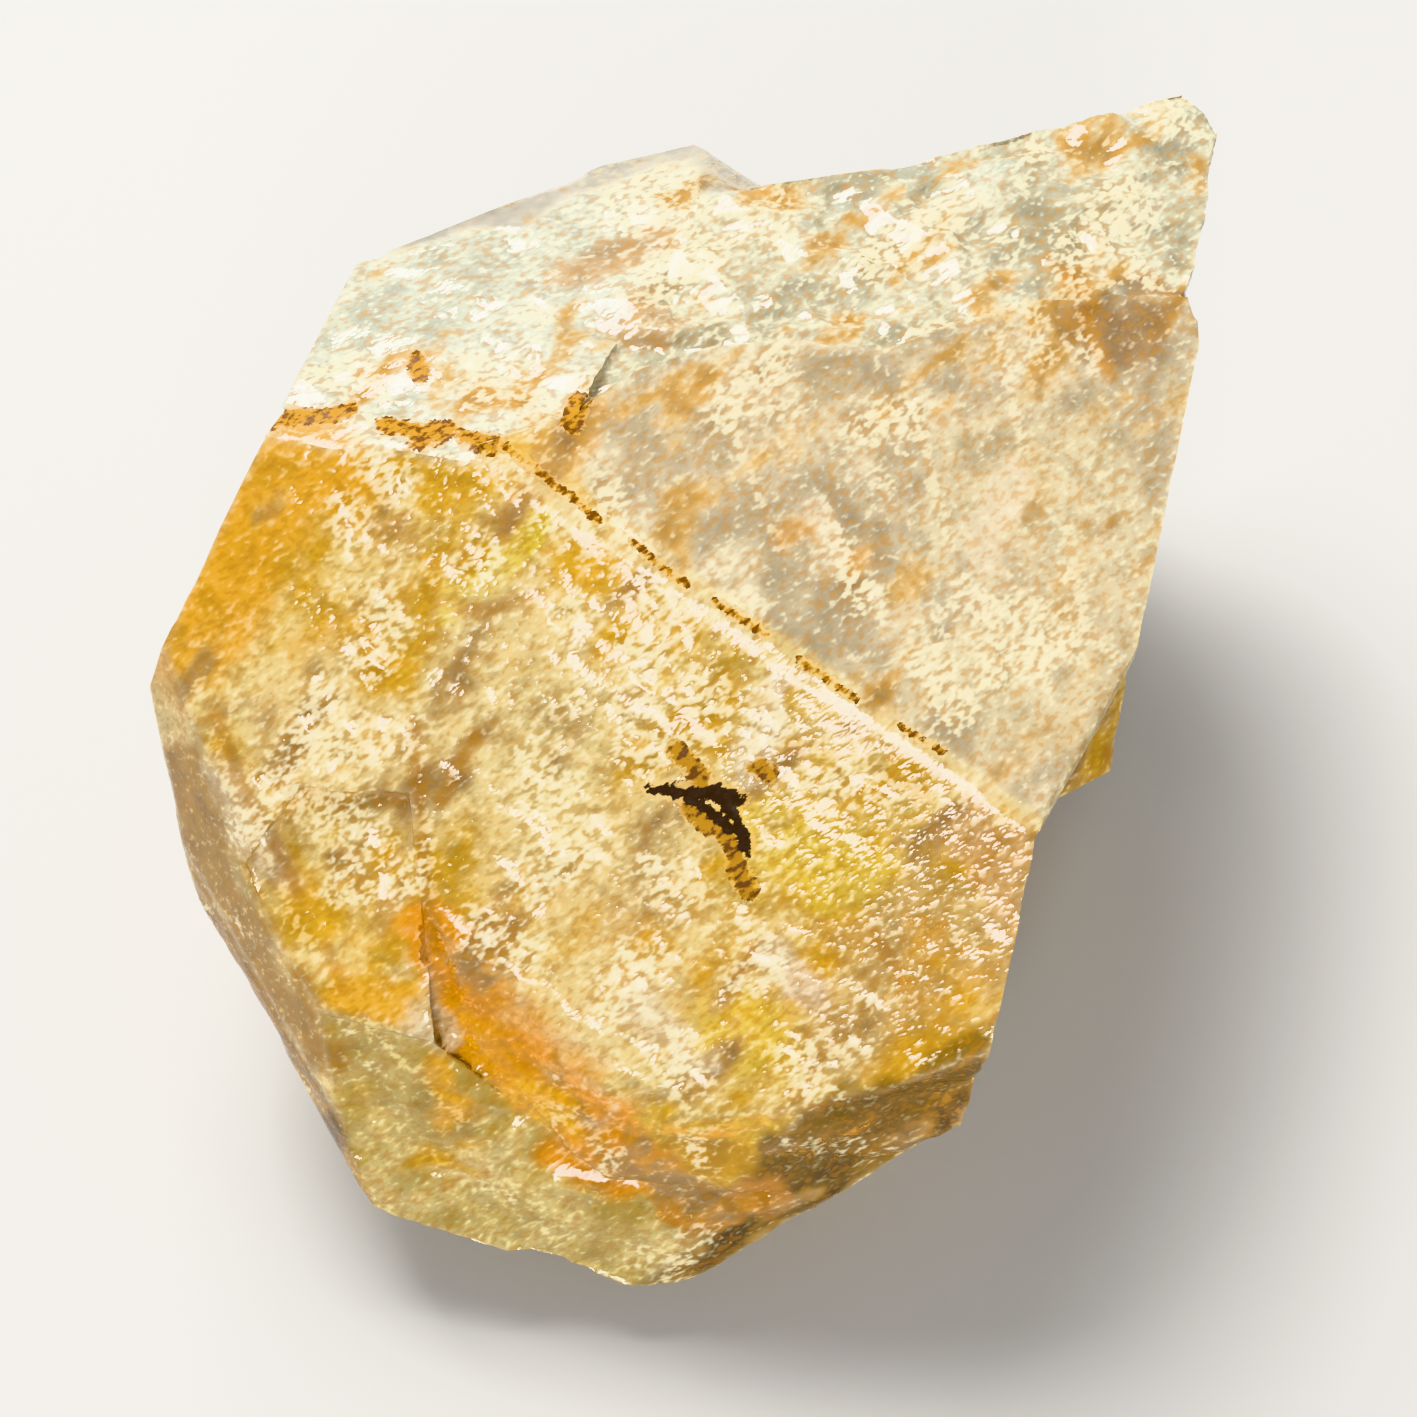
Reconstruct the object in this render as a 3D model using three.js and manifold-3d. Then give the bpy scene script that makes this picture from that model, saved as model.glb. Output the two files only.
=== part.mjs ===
// Herkimer-type quartz: a chunk of golden quartz with flat growth faces, broken across its top and along
// its lower edge, and grown together with a smaller crystal behind. One solid, in millimetres, +Z up.
//
// The crystal is described in its own frame, in which the long ridge between its two big faces looks
// straight out along +w: u runs to the right, v runs up along the crystal, and w points out of the ridge.
// Every face is a plane through a point of that frame. Its outward normal leans away from +w by the angle
// tilt, in the direction towards, which is counted from +u round to +v.
import * as THREE from "three";
import { mergeVertices } from "three/addons/utils/BufferGeometryUtils.js";
import Module from "manifold-3d";

const lean = 28; // degrees that the crystal lies back from upright when it rests on its base facet
const blockSize = 160; // side of the blocks that are cut away, larger than the crystal
const weldDistance = 1e-4;
const unevenness = 0.55; // how far the corners of a broken surface stray from an even grid

const quartzColour = 0xd9b878;
const quartzRoughness = 0.18;

const ridgeMiddle = [3, 4.4, 8.5];
const restingDepth = -36.5; // how far behind the ridge frame's origin the base facet lies, along w

// Outlines in u and v that limit a face to a part of the crystal, as [u, v] corners. Neighbours overlap a
// little, so that no film of crystal is left between two cuts.
const overlap = 0.15;
const cornerHeight = -7.6; // where the right outline turns in, at the lower end of the ridge
const aboveCorner = [[5, cornerHeight], [60, cornerHeight], [60, 60], [5, 60]];
const belowCorner = [[5, -60], [60, -60], [60, cornerHeight + overlap], [5, cornerHeight + overlap]];
const foldFoot = [-7.4, 17.4];
const foldTop = [-0.8, 31.5];
const smokyEdge = [
  [-4, 19.9], [-0.5, 21.2], [4.8, 22], [10.3, 21.4], [15.2, 23.2], [20.1, 24.8], [25.8, 25.4], [60, 24.6],
];
const foldLine = [foldFoot, foldTop, [-0.8, 60]];
const leftOfFold = [[-60, 8], [-13.2, 8], [-13.2, 15.2], ...foldLine, [-60, 60]];
const rightOfFold = [...smokyEdge, [60, 60], ...moved(foldLine, -overlap, 0).reverse()];
const ridgeEnd = [[-13.2, 15.6], [-7.4, 17.8], [-7.5, 13.8], [-6.3, 11.2], [-3.2, 8.4]];
const ledgeLine = [[-16.6, -20.4], [-12.7, -23.6], [-6.6, -29.2], [5, -30.2]];
const aboveLedge = [[-17.4, -8], ...ledgeLine, [5, -60], [60, -60], [60, -8]];
const belowLedge = [[-60, -18], [-24.8, -18.3], ...moved(ledgeLine, overlap, overlap), [5.2, -60], [-60, -60]];
const leftChip = [[-24.4, -4.8], [-17.8, -5], [-17.2, -13], [-16.4, -20.6], [-24.8, -18.5], [-28, -9.5]];
const hornFoot = 25.2; // height of the notch under the horn
const horn = [[5, hornFoot], [60, hornFoot], [60, 60], [5, 60]];
const belowHorn = [[5, -60], [60, -60], [60, hornFoot + overlap], [5, hornFoot + overlap]];
const backTurn = 11.9; // where the back wall turns towards the horn
const behindMiddle = [[-60, 0], [backTurn, 0], [backTurn, 60], [-60, 60]];
const behindHorn = [[backTurn - overlap, 0], [60, 0], [60, 60], [backTurn - overlap, 60]];

// Faces that grew: the two big ones that meet in the ridge, its worn crest, and the steep left rim.
const growthFaces = [
  { name: "golden face", through: ridgeMiddle, towards: 246, tilt: 20 },
  { name: "smoky face", through: ridgeMiddle, towards: 47, tilt: 23 },
  { name: "ridge crest", through: [3, 4.4, 8.25], towards: 351, tilt: 3.6 },
  { name: "chipped ridge end", through: [-8, 14, 8.35], towards: 55, tilt: 18, outline: ridgeEnd },
  { name: "left rim", through: [-28, -7, 0.2], towards: 212, tilt: 56 },
  { name: "left strip", through: [-31.3, -6, -1.5], towards: 211, tilt: 66 },
  { name: "smoky face's rim", through: [19.6, -6.6, 7.1], towards: 345, tilt: 58, outline: aboveCorner },
];

// Walls that run back from the outline.
const walls = [
  { name: "upper left wall", through: [-25.5, 16.2, 7.5], towards: 150.5, tilt: 92 },
  { name: "left wall", through: [-33.1, -3, -3], towards: 183, tilt: 96 },
  { name: "back wall", through: [3.5, 32.3, -5.6], towards: 103, tilt: 106, outline: behindMiddle },
  { name: "back of the horn", through: [29.1, 38.9, -12.6], towards: 111.5, tilt: 106, outline: behindHorn },
  { name: "tip of the horn", through: [31.3, 37.8, -12.5], towards: 42, tilt: 96 },
  { name: "right of the horn", through: [30.8, 30.5, -10], towards: 342, tilt: 97, outline: horn },
  { name: "right wall, top", through: [30.1, 24.6, -5.7], towards: 357, tilt: 97, outline: belowHorn },
  { name: "right wall, middle", through: [27.4, 11, 0], towards: 344, tilt: 96 },
  { name: "right wall, low", through: [20.1, -6, 5.5], towards: 328, tilt: 95, outline: aboveCorner },
  { name: "golden face's right wall", through: [19, -7.7, 5], towards: 351.5, tilt: 97, outline: belowCorner },
  { name: "lower right wall", through: [11.2, -28, -6], towards: 309, tilt: 102 },
];

// Faces turned to the ground: two that grew, and three that broke.
const underside = [
  { name: "back underside", through: [0, 27, -30], towards: 95, tilt: 138 },
  { name: "left back underside", through: [-25, 16, -22], towards: 160, tilt: 132 },
  {
    name: "left underside",
    through: [-27.7, -19, -10],
    towards: 203,
    tilt: 120,
    relief: ripples({ strike: [-12, 14], spacing: 9, height: 0.5 }),
  },
  {
    name: "front underside",
    through: [-3.1, -36.8, -11.5],
    towards: 254,
    tilt: 125,
    relief: ripples({ strike: [-4, -12], spacing: 7, height: 0.4 }),
  },
  {
    name: "right underside",
    through: [24, 4, -24],
    towards: 348,
    tilt: 130,
    relief: ripples({ strike: [-16, 22], spacing: 8, height: 0.45 }),
  },
];

const base = { name: "base facet", through: [0, 0, restingDepth], towards: 270, tilt: 180 - lean };

// The smaller crystal behind, whose point stands above the back wall.
const rearCrystal = [
  { name: "smoky face", through: ridgeMiddle, towards: 47, tilt: 23 },
  { name: "golden face", through: ridgeMiddle, towards: 246, tilt: 20 },
  { name: "front bevel", through: [-6.7, 32, -6.7], towards: 96, tilt: 52 },
  { name: "back", through: [-6.75, 33.8, -9], towards: 121.5, tilt: 105 },
  { name: "back of the point", through: [-0.97, 35.5, -9], towards: 106, tilt: 100 },
  { name: "left", through: [-25.5, 16.2, 7.5], towards: 160.5, tilt: 92 },
  { name: "right facet", through: [1.2, 33.2, -8], towards: 58, tilt: 60 },
  { name: "right", through: [-0.97, 35.5, -9], towards: 56, tilt: 97 },
  { name: "inner side", through: [6, 28, -5], towards: 345, tilt: 92 },
  { name: "foot", through: [-8, 24, -30], towards: 105, tilt: 142 },
  { name: "left foot", through: [-24, 16, -22], towards: 160, tilt: 130 },
  { name: "lower end", through: [-10, 17.6, -6], towards: 270, tilt: 90 },
];

// A rib of quartz that grew on the right wall, below the smoky face.
const rib = [
  { name: "top", through: [25.4, 0, -13.6], towards: 340, tilt: 38 },
  { name: "upper top", through: [22, 2, -12], towards: 60, tilt: 30 },
  { name: "outer side", through: [26, -1, -15], towards: 352, tilt: 101 },
  { name: "lower side", through: [23.4, -4.9, -15], towards: 292, tilt: 96 },
  { name: "upper side", through: [22, 8, -16], towards: 78, tilt: 96 },
  { name: "foot", through: [24, 0, -29], towards: 350, tilt: 140 },
  { name: "inner side", through: [12, 0, -20], towards: 180, tilt: 90 },
];

// Broken surfaces. Each has a relief, and may be limited to an outline.
const fractures = [
  {
    name: "white fracture",
    through: [-14.2, 22.8, 1.6],
    towards: 90,
    tilt: 42,
    outline: leftOfFold,
    relief: splinters({ grain: 62, spacing: 6.5, step: 0.4, lump: 0.15 }),
  },
  {
    name: "horn fracture",
    through: [17.1, 29.3, -5.6],
    towards: 79,
    tilt: 33,
    outline: rightOfFold,
    relief: splinters({ grain: 68, spacing: 5.2, step: 0.8, lump: 0.35 }),
  },
  {
    name: "tip fracture",
    through: [20.1, 24.8, -3.2],
    towards: 59,
    tilt: 30,
    outline: rightOfFold,
    relief: splinters({ grain: 85, spacing: 4.4, step: 0.7, lump: 0.35 }),
  },
  {
    name: "orange strip",
    through: [-8.9, -19.3, -1.1],
    towards: 236,
    tilt: 38,
    outline: aboveLedge,
    relief: ripples({ strike: [-4, 6], spacing: 5, height: 0.25 }),
  },
  {
    name: "lower middle",
    through: [0.7, -24.1, -1.3],
    towards: 256,
    tilt: 42,
    outline: aboveLedge,
    relief: ripples({ strike: [-3, -5], spacing: 4.4, height: 0.25 }),
  },
  {
    name: "lower right strip",
    through: [11, -22.3, 0.8],
    towards: 281,
    tilt: 50,
    relief: ripples({ strike: [-8, 2], spacing: 6, height: 0.35 }),
  },
  {
    name: "pale lower face",
    through: [-9.8, -29.3, -8.2],
    towards: 256,
    tilt: 33,
    outline: belowLedge,
    relief: ripples({ strike: [-14, 8], spacing: 7, height: 0.35 }),
  },
  {
    name: "left chip",
    through: [-20.5, -12, -0.9],
    towards: 226,
    tilt: 21,
    outline: leftChip,
    relief: ripples({ strike: [-6, 2], spacing: 5, height: 0.12 }),
  },
];

// Bites of conchoidal fracture: spheres that touch the crystal from outside.
const bites = [
  { name: "notch under the horn", centre: [32, 25.4, -6.5], radius: 2.8 },
  { name: "upper nick in the right edge", centre: [31, 14, -0.5], radius: 2.6 },
  { name: "lower nick in the right edge", centre: [28.7, 7.6, 2.4], radius: 2.8 },
  { name: "nick in the left strip", centre: [-30, -21.6, -8.5], radius: 2.6 },
  { name: "shell-shaped break behind the horn", centre: [16.1, 55.1, -41.4], radius: 30 },
  { name: "shell-shaped break at the left", centre: [-48.7, -7.4, -27], radius: 24 },
];

const wasm = await Module();
wasm.setup();

function moved(outline, du, dv) {
  return outline.map(([u, v]) => [u + du, v + dv]);
}

function radians(degrees) {
  return THREE.MathUtils.degToRad(degrees);
}

// Broken steps that run along the grain, a direction in degrees from the fall line, with lumps between them.
function splinters({ grain, spacing, step, lump }) {
  const alongX = Math.cos(radians(grain));
  const alongY = Math.sin(radians(grain));
  return (x, y) => {
    const along = x * alongX + y * alongY;
    const across = y * alongX - x * alongY;
    const phase = across / spacing + 0.35 * Math.sin(along / 5.5);
    const saw = phase - Math.floor(phase);
    const steps = saw < 0.8 ? saw / 0.8 : (1 - saw) / 0.2;
    const lumps = Math.sin(along / 2.3 + 1.7 * Math.sin(across / 3.1)) * Math.sin(across / 1.9);
    return step * (steps - 0.5) + lump * lumps;
  };
}

// Rings of a conchoidal fracture, round the point where the blow struck.
function ripples({ strike, spacing, height }) {
  return (x, y) => {
    const distance = Math.hypot(x - strike[0], 0.8 * (y - strike[1]));
    const ring = Math.sin((2 * Math.PI * distance) / spacing);
    return height * (ring + 0.5 * Math.sin(x / 2.1) * Math.cos(y / 2.7));
  };
}

function solidOf(geometry) {
  geometry.deleteAttribute("normal");
  geometry.deleteAttribute("uv");
  const merged = mergeVertices(geometry, weldDistance);
  return new wasm.Manifold(
    new wasm.Mesh({
      numProp: 3,
      vertProperties: merged.attributes.position.array,
      triVerts: new Uint32Array(merged.index.array),
    }),
  );
}

function geometryOf(solid) {
  const made = solid.getMesh();
  const geometry = new THREE.BufferGeometry();
  geometry.setAttribute("position", new THREE.BufferAttribute(made.vertProperties, 3));
  geometry.setIndex(new THREE.BufferAttribute(made.triVerts, 1));
  geometry.computeVertexNormals();
  return geometry;
}

// Turns a geometry whose +z is the outward normal, and x the fall line, onto the face.
function layOn(geometry, face) {
  return geometry
    .rotateY(radians(face.tilt))
    .rotateZ(radians(face.towards))
    .translate(...face.through);
}

// Everything outside one face, as a block that stands on it.
function beyond(face) {
  const cells = face.relief ? 40 : 1;
  const width = face.relief ? 80 : blockSize;
  const block = new THREE.BoxGeometry(width, width, blockSize, cells, cells, 1).translate(0, 0, blockSize / 2);
  if (face.relief) {
    const position = block.attributes.position;
    for (let i = 0; i < position.count; i++) {
      const x = position.getX(i);
      const y = position.getY(i);
      const uneven = Math.abs(x) < width / 2 && Math.abs(y) < width / 2 ? unevenness : 0;
      if (position.getZ(i) > 1) continue;
      position.setX(i, x + uneven * Math.sin(7.3 * x + 12.1 * y));
      position.setY(i, y + uneven * Math.sin(11.7 * x - 5.9 * y));
      position.setZ(i, face.relief(position.getX(i), position.getY(i)));
    }
  }
  const solid = solidOf(layOn(block, face));
  return face.outline ? solid.intersect(columnOver(face.outline)) : solid;
}

// An upright column over an outline in u and v.
function columnOver(outline) {
  const shape = new THREE.Shape(outline.map(([u, v]) => new THREE.Vector2(u, v)));
  const column = new THREE.ExtrudeGeometry(shape, { depth: blockSize, bevelEnabled: false });
  return solidOf(column.translate(0, 0, -blockSize / 2));
}

// A block cut down to the space inside all of its faces.
function crystalInside(faces) {
  let solid = solidOf(new THREE.BoxGeometry(blockSize / 2, blockSize / 2, blockSize / 2));
  for (const face of faces) solid = solid.subtract(beyond(face));
  return solid;
}

function biteSolid({ centre, radius }) {
  const detail = radius > 10 ? 9 : 1;
  return solidOf(new THREE.IcosahedronGeometry(radius, detail).translate(...centre));
}

function crystalSolid() {
  let solid = crystalInside([...growthFaces, ...walls, ...underside]);
  solid = solid.add(crystalInside(rearCrystal));
  solid = solid.add(crystalInside(rib));
  for (const fracture of fractures) solid = solid.subtract(beyond(fracture));
  for (const bite of bites) solid = solid.subtract(biteSolid(bite));
  return solid.subtract(beyond(base));
}

const crystal = new THREE.Mesh(
  geometryOf(crystalSolid()),
  new THREE.MeshStandardMaterial({ color: quartzColour, roughness: quartzRoughness, metalness: 0 }),
);
crystal.name = "quartz_crystal";
crystal.rotation.x = radians(lean);

// The origin is the middle of the base, on the ground.
const box = new THREE.Box3().setFromObject(crystal, true);
const middle = box.getCenter(new THREE.Vector3());
crystal.position.set(-middle.x, -middle.y, -box.min.z);

const part = new THREE.Group();
part.add(crystal);

export default part;
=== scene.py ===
from math import cos, radians, sin

import bmesh
import bpy
import numpy as np
from mathutils import Matrix, Vector
from mathutils.geometry import delaunay_2d_cdt


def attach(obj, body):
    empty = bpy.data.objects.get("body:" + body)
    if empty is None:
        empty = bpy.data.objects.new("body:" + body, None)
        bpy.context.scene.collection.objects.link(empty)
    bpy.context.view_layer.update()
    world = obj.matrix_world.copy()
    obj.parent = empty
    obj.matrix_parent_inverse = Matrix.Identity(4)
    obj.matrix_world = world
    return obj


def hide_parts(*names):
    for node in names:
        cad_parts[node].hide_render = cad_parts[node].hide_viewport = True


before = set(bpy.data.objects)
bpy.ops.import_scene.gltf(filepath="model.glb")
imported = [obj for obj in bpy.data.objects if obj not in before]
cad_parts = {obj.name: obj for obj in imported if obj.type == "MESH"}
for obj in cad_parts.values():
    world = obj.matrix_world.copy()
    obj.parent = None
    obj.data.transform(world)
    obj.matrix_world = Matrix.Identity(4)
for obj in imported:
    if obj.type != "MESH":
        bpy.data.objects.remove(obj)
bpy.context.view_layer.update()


# ---- The crystal: one piece of golden quartz, with flat growth faces, a broken white top and broken strips
# along its lower edge. It grew as one, so it is one closed surface. Every face is a plane in the crystal's
# own frame: u to the right, v up along the crystal, w out of the ridge between its two big faces, in mm.

LEAN = radians(28)  # the crystal lies back by this much when it rests on its base facet
RIDGE_FRAME = np.array([0.604, -8.272, 32.228])  # where the crystal's own frame stands, in mm

# name: (a point of the face, the way its normal leans and by how much, in degrees, finish, tint)
FACES = {
    "golden face": ((3, 4.4, 8.5), 246, 20, "grown", "honey"),
    "smoky face": ((3, 4.4, 8.5), 47, 23, "grown", "smoke"),
    "ridge crest": ((3, 4.4, 8.25), 351, 3.6, "grown", "cream"),
    "ridge end": ((-8, 14, 8.35), 55, 18, "grown", "honey"),
    "left rim": ((-28, -7, 0.2), 212, 56, "grown", "cream"),
    "left strip": ((-31.3, -6, -1.5), 211, 66, "grown", "brown"),
    "smoky rim": ((19.6, -6.6, 7.1), 345, 58, "grown", "cream"),
    "upper left wall": ((-25.5, 16.2, 7.5), 150.5, 92, "grown", "wall"),
    "left wall": ((-33.1, -3, -3), 183, 96, "grown", "wall"),
    "back wall": ((3.5, 32.3, -5.6), 103, 106, "grown", "wall"),
    "back of the horn": ((29.1, 38.9, -12.6), 111.5, 106, "grown", "wall"),
    "step behind the horn": ((11.8, 29.5, -21.3), 0, 90, "grown", "wall"),
    "tip of the horn": ((31.3, 37.8, -12.5), 42, 96, "grown", "wall"),
    "right of the horn": ((30.8, 30.5, -10), 342, 97, "grown", "wall"),
    "right wall, top": ((30.1, 24.6, -5.7), 357, 97, "grown", "wall"),
    "right wall, middle": ((27.4, 11, 0), 344, 96, "grown", "wall"),
    "right wall, low": ((20.1, -6, 5.5), 328, 95, "grown", "wall"),
    "golden right wall": ((19, -7.7, 5), 351.5, 97, "grown", "honey"),
    "lower right wall": ((11.2, -28, -6), 309, 102, "grown", "wall"),
    "back underside": ((0, 27, -30), 95, 138, "grown", "wall"),
    "left back underside": ((-25, 16, -22), 160, 132, "grown", "wall"),
    "left underside": ((-27.7, -19, -10), 203, 120, "rippled", "wall"),
    "front underside": ((-3.1, -36.8, -11.5), 254, 125, "rippled", "wall"),
    "right underside": ((24, 4, -24), 348, 130, "rippled", "wall"),
    "base facet": ((0, 0, -36.5), 270, 152, "grown", "wall"),
    "rear bevel": ((-6.7, 32, -6.7), 96, 52, "grown", "clear"),
    "rear back": ((-6.75, 33.8, -9), 121.5, 105, "grown", "clear"),
    "rear point": ((-0.97, 35.5, -9), 106, 100, "grown", "clear"),
    "rear left": ((-25.5, 16.2, 7.5), 160.5, 92, "grown", "clear"),
    "rear right facet": ((1.2, 33.2, -8), 58, 60, "grown", "clear"),
    "rear right": ((-0.97, 35.5, -9), 56, 97, "grown", "clear"),
    "rear inner side": ((6, 28, -5), 345, 92, "grown", "clear"),
    "rear foot": ((-8, 24, -30), 105, 142, "grown", "wall"),
    "rear left foot": ((-24, 16, -22), 160, 130, "grown", "wall"),
    "rib top": ((25.4, 0, -13.6), 340, 38, "grown", "amber"),
    "rib upper top": ((22, 2, -12), 60, 30, "grown", "amber"),
    "rib outer side": ((26, -1, -15), 352, 101, "grown", "amber"),
    "rib lower side": ((23.4, -4.9, -15), 292, 96, "grown", "amber"),
    "rib upper side": ((22, 8, -16), 78, 96, "grown", "amber"),
    "rib foot": ((24, 0, -29), 350, 140, "grown", "wall"),
    "white fracture": ((-14.2, 22.8, 1.6), 90, 42, "silky", "white"),
    "horn fracture": ((17.1, 29.3, -5.6), 79, 33, "splintered", "sand"),
    "tip fracture": ((20.1, 24.8, -3.2), 59, 30, "splintered", "sand"),
    "orange strip": ((-8.9, -19.3, -1.1), 236, 38, "rippled", "orange"),
    "lower middle": ((0.7, -24.1, -1.3), 256, 42, "rippled", "amber"),
    "lower right strip": ((11, -22.3, 0.8), 281, 50, "rippled", "bronze"),
    "pale lower face": ((-9.8, -29.3, -8.2), 256, 33, "rippled", "pale"),
    "left chip": ((-20.5, -12, -0.9), 226, 21, "rippled", "honey"),
}

# tint: the two colours that a face's quartz runs between, and how much of it is milky with tiny fractures
TINTS = {
    "honey": ((0.58, 0.34, 0.03), (0.82, 0.66, 0.28), 0.38),
    "smoke": ((0.37, 0.31, 0.20), (0.58, 0.51, 0.35), 0.14),
    "cream": ((0.66, 0.50, 0.20), (0.80, 0.67, 0.36), 0.38),
    "brown": ((0.09, 0.04, 0.0), (0.55, 0.32, 0.06), 0.20),
    "clear": ((0.50, 0.48, 0.40), (0.66, 0.65, 0.56), 0.0),
    "white": ((0.40, 0.42, 0.34), (0.56, 0.58, 0.48), 0.36),
    "sand": ((0.34, 0.32, 0.22), (0.56, 0.56, 0.43), 0.36),
    "orange": ((0.74, 0.32, 0.0), (0.90, 0.52, 0.03), 0.18),
    "amber": ((0.52, 0.28, 0.01), (0.78, 0.50, 0.05), 0.26),
    "bronze": ((0.06, 0.03, 0.0), (0.28, 0.16, 0.01), 0.14),
    "pale": ((0.46, 0.34, 0.09), (0.70, 0.58, 0.24), 0.28),
    "wall": ((0, 0, 0), (0, 0, 0), 0.35),  # the walls run from amber below to white above
}


def in_crystal_frame(points):
    """Points in metres turned back by the lean about x, in millimetres from the ridge frame's origin."""
    x, y, z = (points * 1000 - RIDGE_FRAME).T
    return np.stack([x, y * cos(LEAN) + z * sin(LEAN), z * cos(LEAN) - y * sin(LEAN)], axis=1)


def in_world(points):
    """The way back: turned by the lean about x, moved to the ridge frame's place, in metres."""
    u, v, w = points.T
    turned = np.stack([u, v * cos(LEAN) - w * sin(LEAN), v * sin(LEAN) + w * cos(LEAN)], axis=1)
    return (turned + RIDGE_FRAME) / 1000


def unit(vectors):
    """The same directions at length 1."""
    return vectors / np.maximum(np.linalg.norm(vectors, axis=1, keepdims=True), 1e-12)


def face_normals(points, triangles):
    """Half the cross product of two sides of each triangle: its length is the triangle's area."""
    a, b, c = points[triangles[:, 0]], points[triangles[:, 1]], points[triangles[:, 2]]
    return np.cross(b - a, c - a) / 2


PLANE_REACH = 0.5  # how far off a face's plane a triangle's middle counts as much as 1, in mm
TURN_COST = 5  # how much a normal at right angles to the face's counts


def nearest_face(points, triangles):
    """For each triangle, the plane with the least sum of its middle's distance and its normal's turn."""
    through = np.array([face[0] for face in FACES.values()], float)
    towards, tilt = np.radians([[face[1], face[2]] for face in FACES.values()]).T
    normal = np.stack([np.sin(tilt) * np.cos(towards), np.sin(tilt) * np.sin(towards), np.cos(tilt)], axis=1)
    own = unit(face_normals(points, triangles))
    middle = points[triangles].mean(axis=1)
    distance = np.abs(middle @ normal.T - (through * normal).sum(axis=1))
    return np.argmin(distance / PLANE_REACH + TURN_COST * (1 - own @ normal.T), axis=1)


def sides_of(triangles):
    """The three sides of each triangle in turn, as pairs of points with the lower number first."""
    return np.sort(np.stack([triangles, np.roll(triangles, -1, axis=1)], axis=2).reshape(-1, 2), axis=1)


def edges_of(triangles):
    """Each edge once, the numbers of each triangle's three edges, and the two triangles beside each edge."""
    edges, inverse = np.unique(sides_of(triangles), axis=0, return_inverse=True)
    inverse = inverse.reshape(-1)
    beside = (np.argsort(inverse, kind="stable") // 3).reshape(-1, 2)
    return edges, inverse.reshape(-1, 3), beside


def groups(count, beside):
    """The group of each triangle: it takes the lowest number beside it, over and over, until none changes."""
    group = np.arange(count)
    while True:
        low = group.copy()
        np.minimum.at(low, beside[:, 0], group[beside[:, 1]])
        np.minimum.at(low, beside[:, 1], group[beside[:, 0]])
        low = low[low]
        if (low == group).all():
            return group
        group = low


def patches(triangles, labels):
    """The connected patches of triangles with one label."""
    beside = edges_of(triangles)[2]
    return groups(len(triangles), beside[labels[beside[:, 0]] == labels[beside[:, 1]]])


def absorb_crumbs(points, triangles, labels, least):
    """Gives each patch smaller than least, in mm2, the label of the patch it shares the longest edge with."""
    area = np.linalg.norm(face_normals(points, triangles), axis=1)
    edges, _, beside = edges_of(triangles)
    length = np.linalg.norm(points[edges[:, 0]] - points[edges[:, 1]], axis=1)
    for _ in range(4):
        patch = patches(triangles, labels)
        size = np.bincount(patch, area, len(triangles))
        for crumb in np.unique(patch[size[patch] < least]):
            here = patch[beside] == crumb
            rim = here[:, 0] != here[:, 1]
            outside = np.where(here[rim, 0], beside[rim, 1], beside[rim, 0])
            if len(outside):
                share = np.bincount(labels[outside], length[rim], len(FACES) + 1)
                labels[patch == crumb] = np.argmax(share)
    return labels


ROW_SPACING = 0.866  # between the rows of a lattice of equal triangles, for sides of 1
RIM_GAP = 0.62  # how near a lattice point may come to a rim point, for sides of 1
SPOTS_AT_ONCE, PAIRS_AT_ONCE = 400, 2000000  # how much is worked out in one array, to spare memory


def even_mesh(points, triangles, labels, spacing):
    """Each patch again as nearly equal triangles: its rim is cut at equal steps, an even lattice of points is
    laid over its inside at the old triangles' height, and both are joined by a Delaunay triangulation."""
    patch = patches(triangles, labels)
    edges, of_triangle, beside = edges_of(triangles)
    step = spacing[labels[beside]].min(axis=1)
    length = np.linalg.norm(points[edges[:, 0]] - points[edges[:, 1]], axis=1)
    cuts = np.maximum(np.round(length / step).astype(int), 1)
    while True:
        on_rim = patch[beside[:, 0]] != patch[beside[:, 1]]
        new_points, new_triangles, new_labels, folded = [points], [], [], []
        rim_runs = {}
        count = len(points)
        for edge in np.where(on_rim)[0]:
            a, b = edges[edge]
            share = np.arange(1, cuts[edge])[:, None] / cuts[edge]
            new_points.append(points[a] * (1 - share) + points[b] * share)
            rim_runs[edge] = np.concatenate([[a], np.arange(count, count + len(share)), [b]])
            count += len(share)
        new_points = [np.concatenate(new_points)]
        for number in np.unique(patch):
            members = np.where(patch == number)[0]
            label = labels[members[0]]
            made = even_patch(new_points[0], triangles[members], of_triangle[members], rim_runs, on_rim,
                              spacing[label], count)
            if made is None:
                folded.append(members)
                continue
            new_points.append(made[0])
            new_triangles.append(made[1])
            new_labels.append(np.full(len(made[1]), label))
            count += len(made[0])
        if not folded:
            return np.concatenate(new_points), np.concatenate(new_triangles), np.concatenate(new_labels)
        for members in folded:
            patch[members] = members + 2 * len(triangles)


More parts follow.
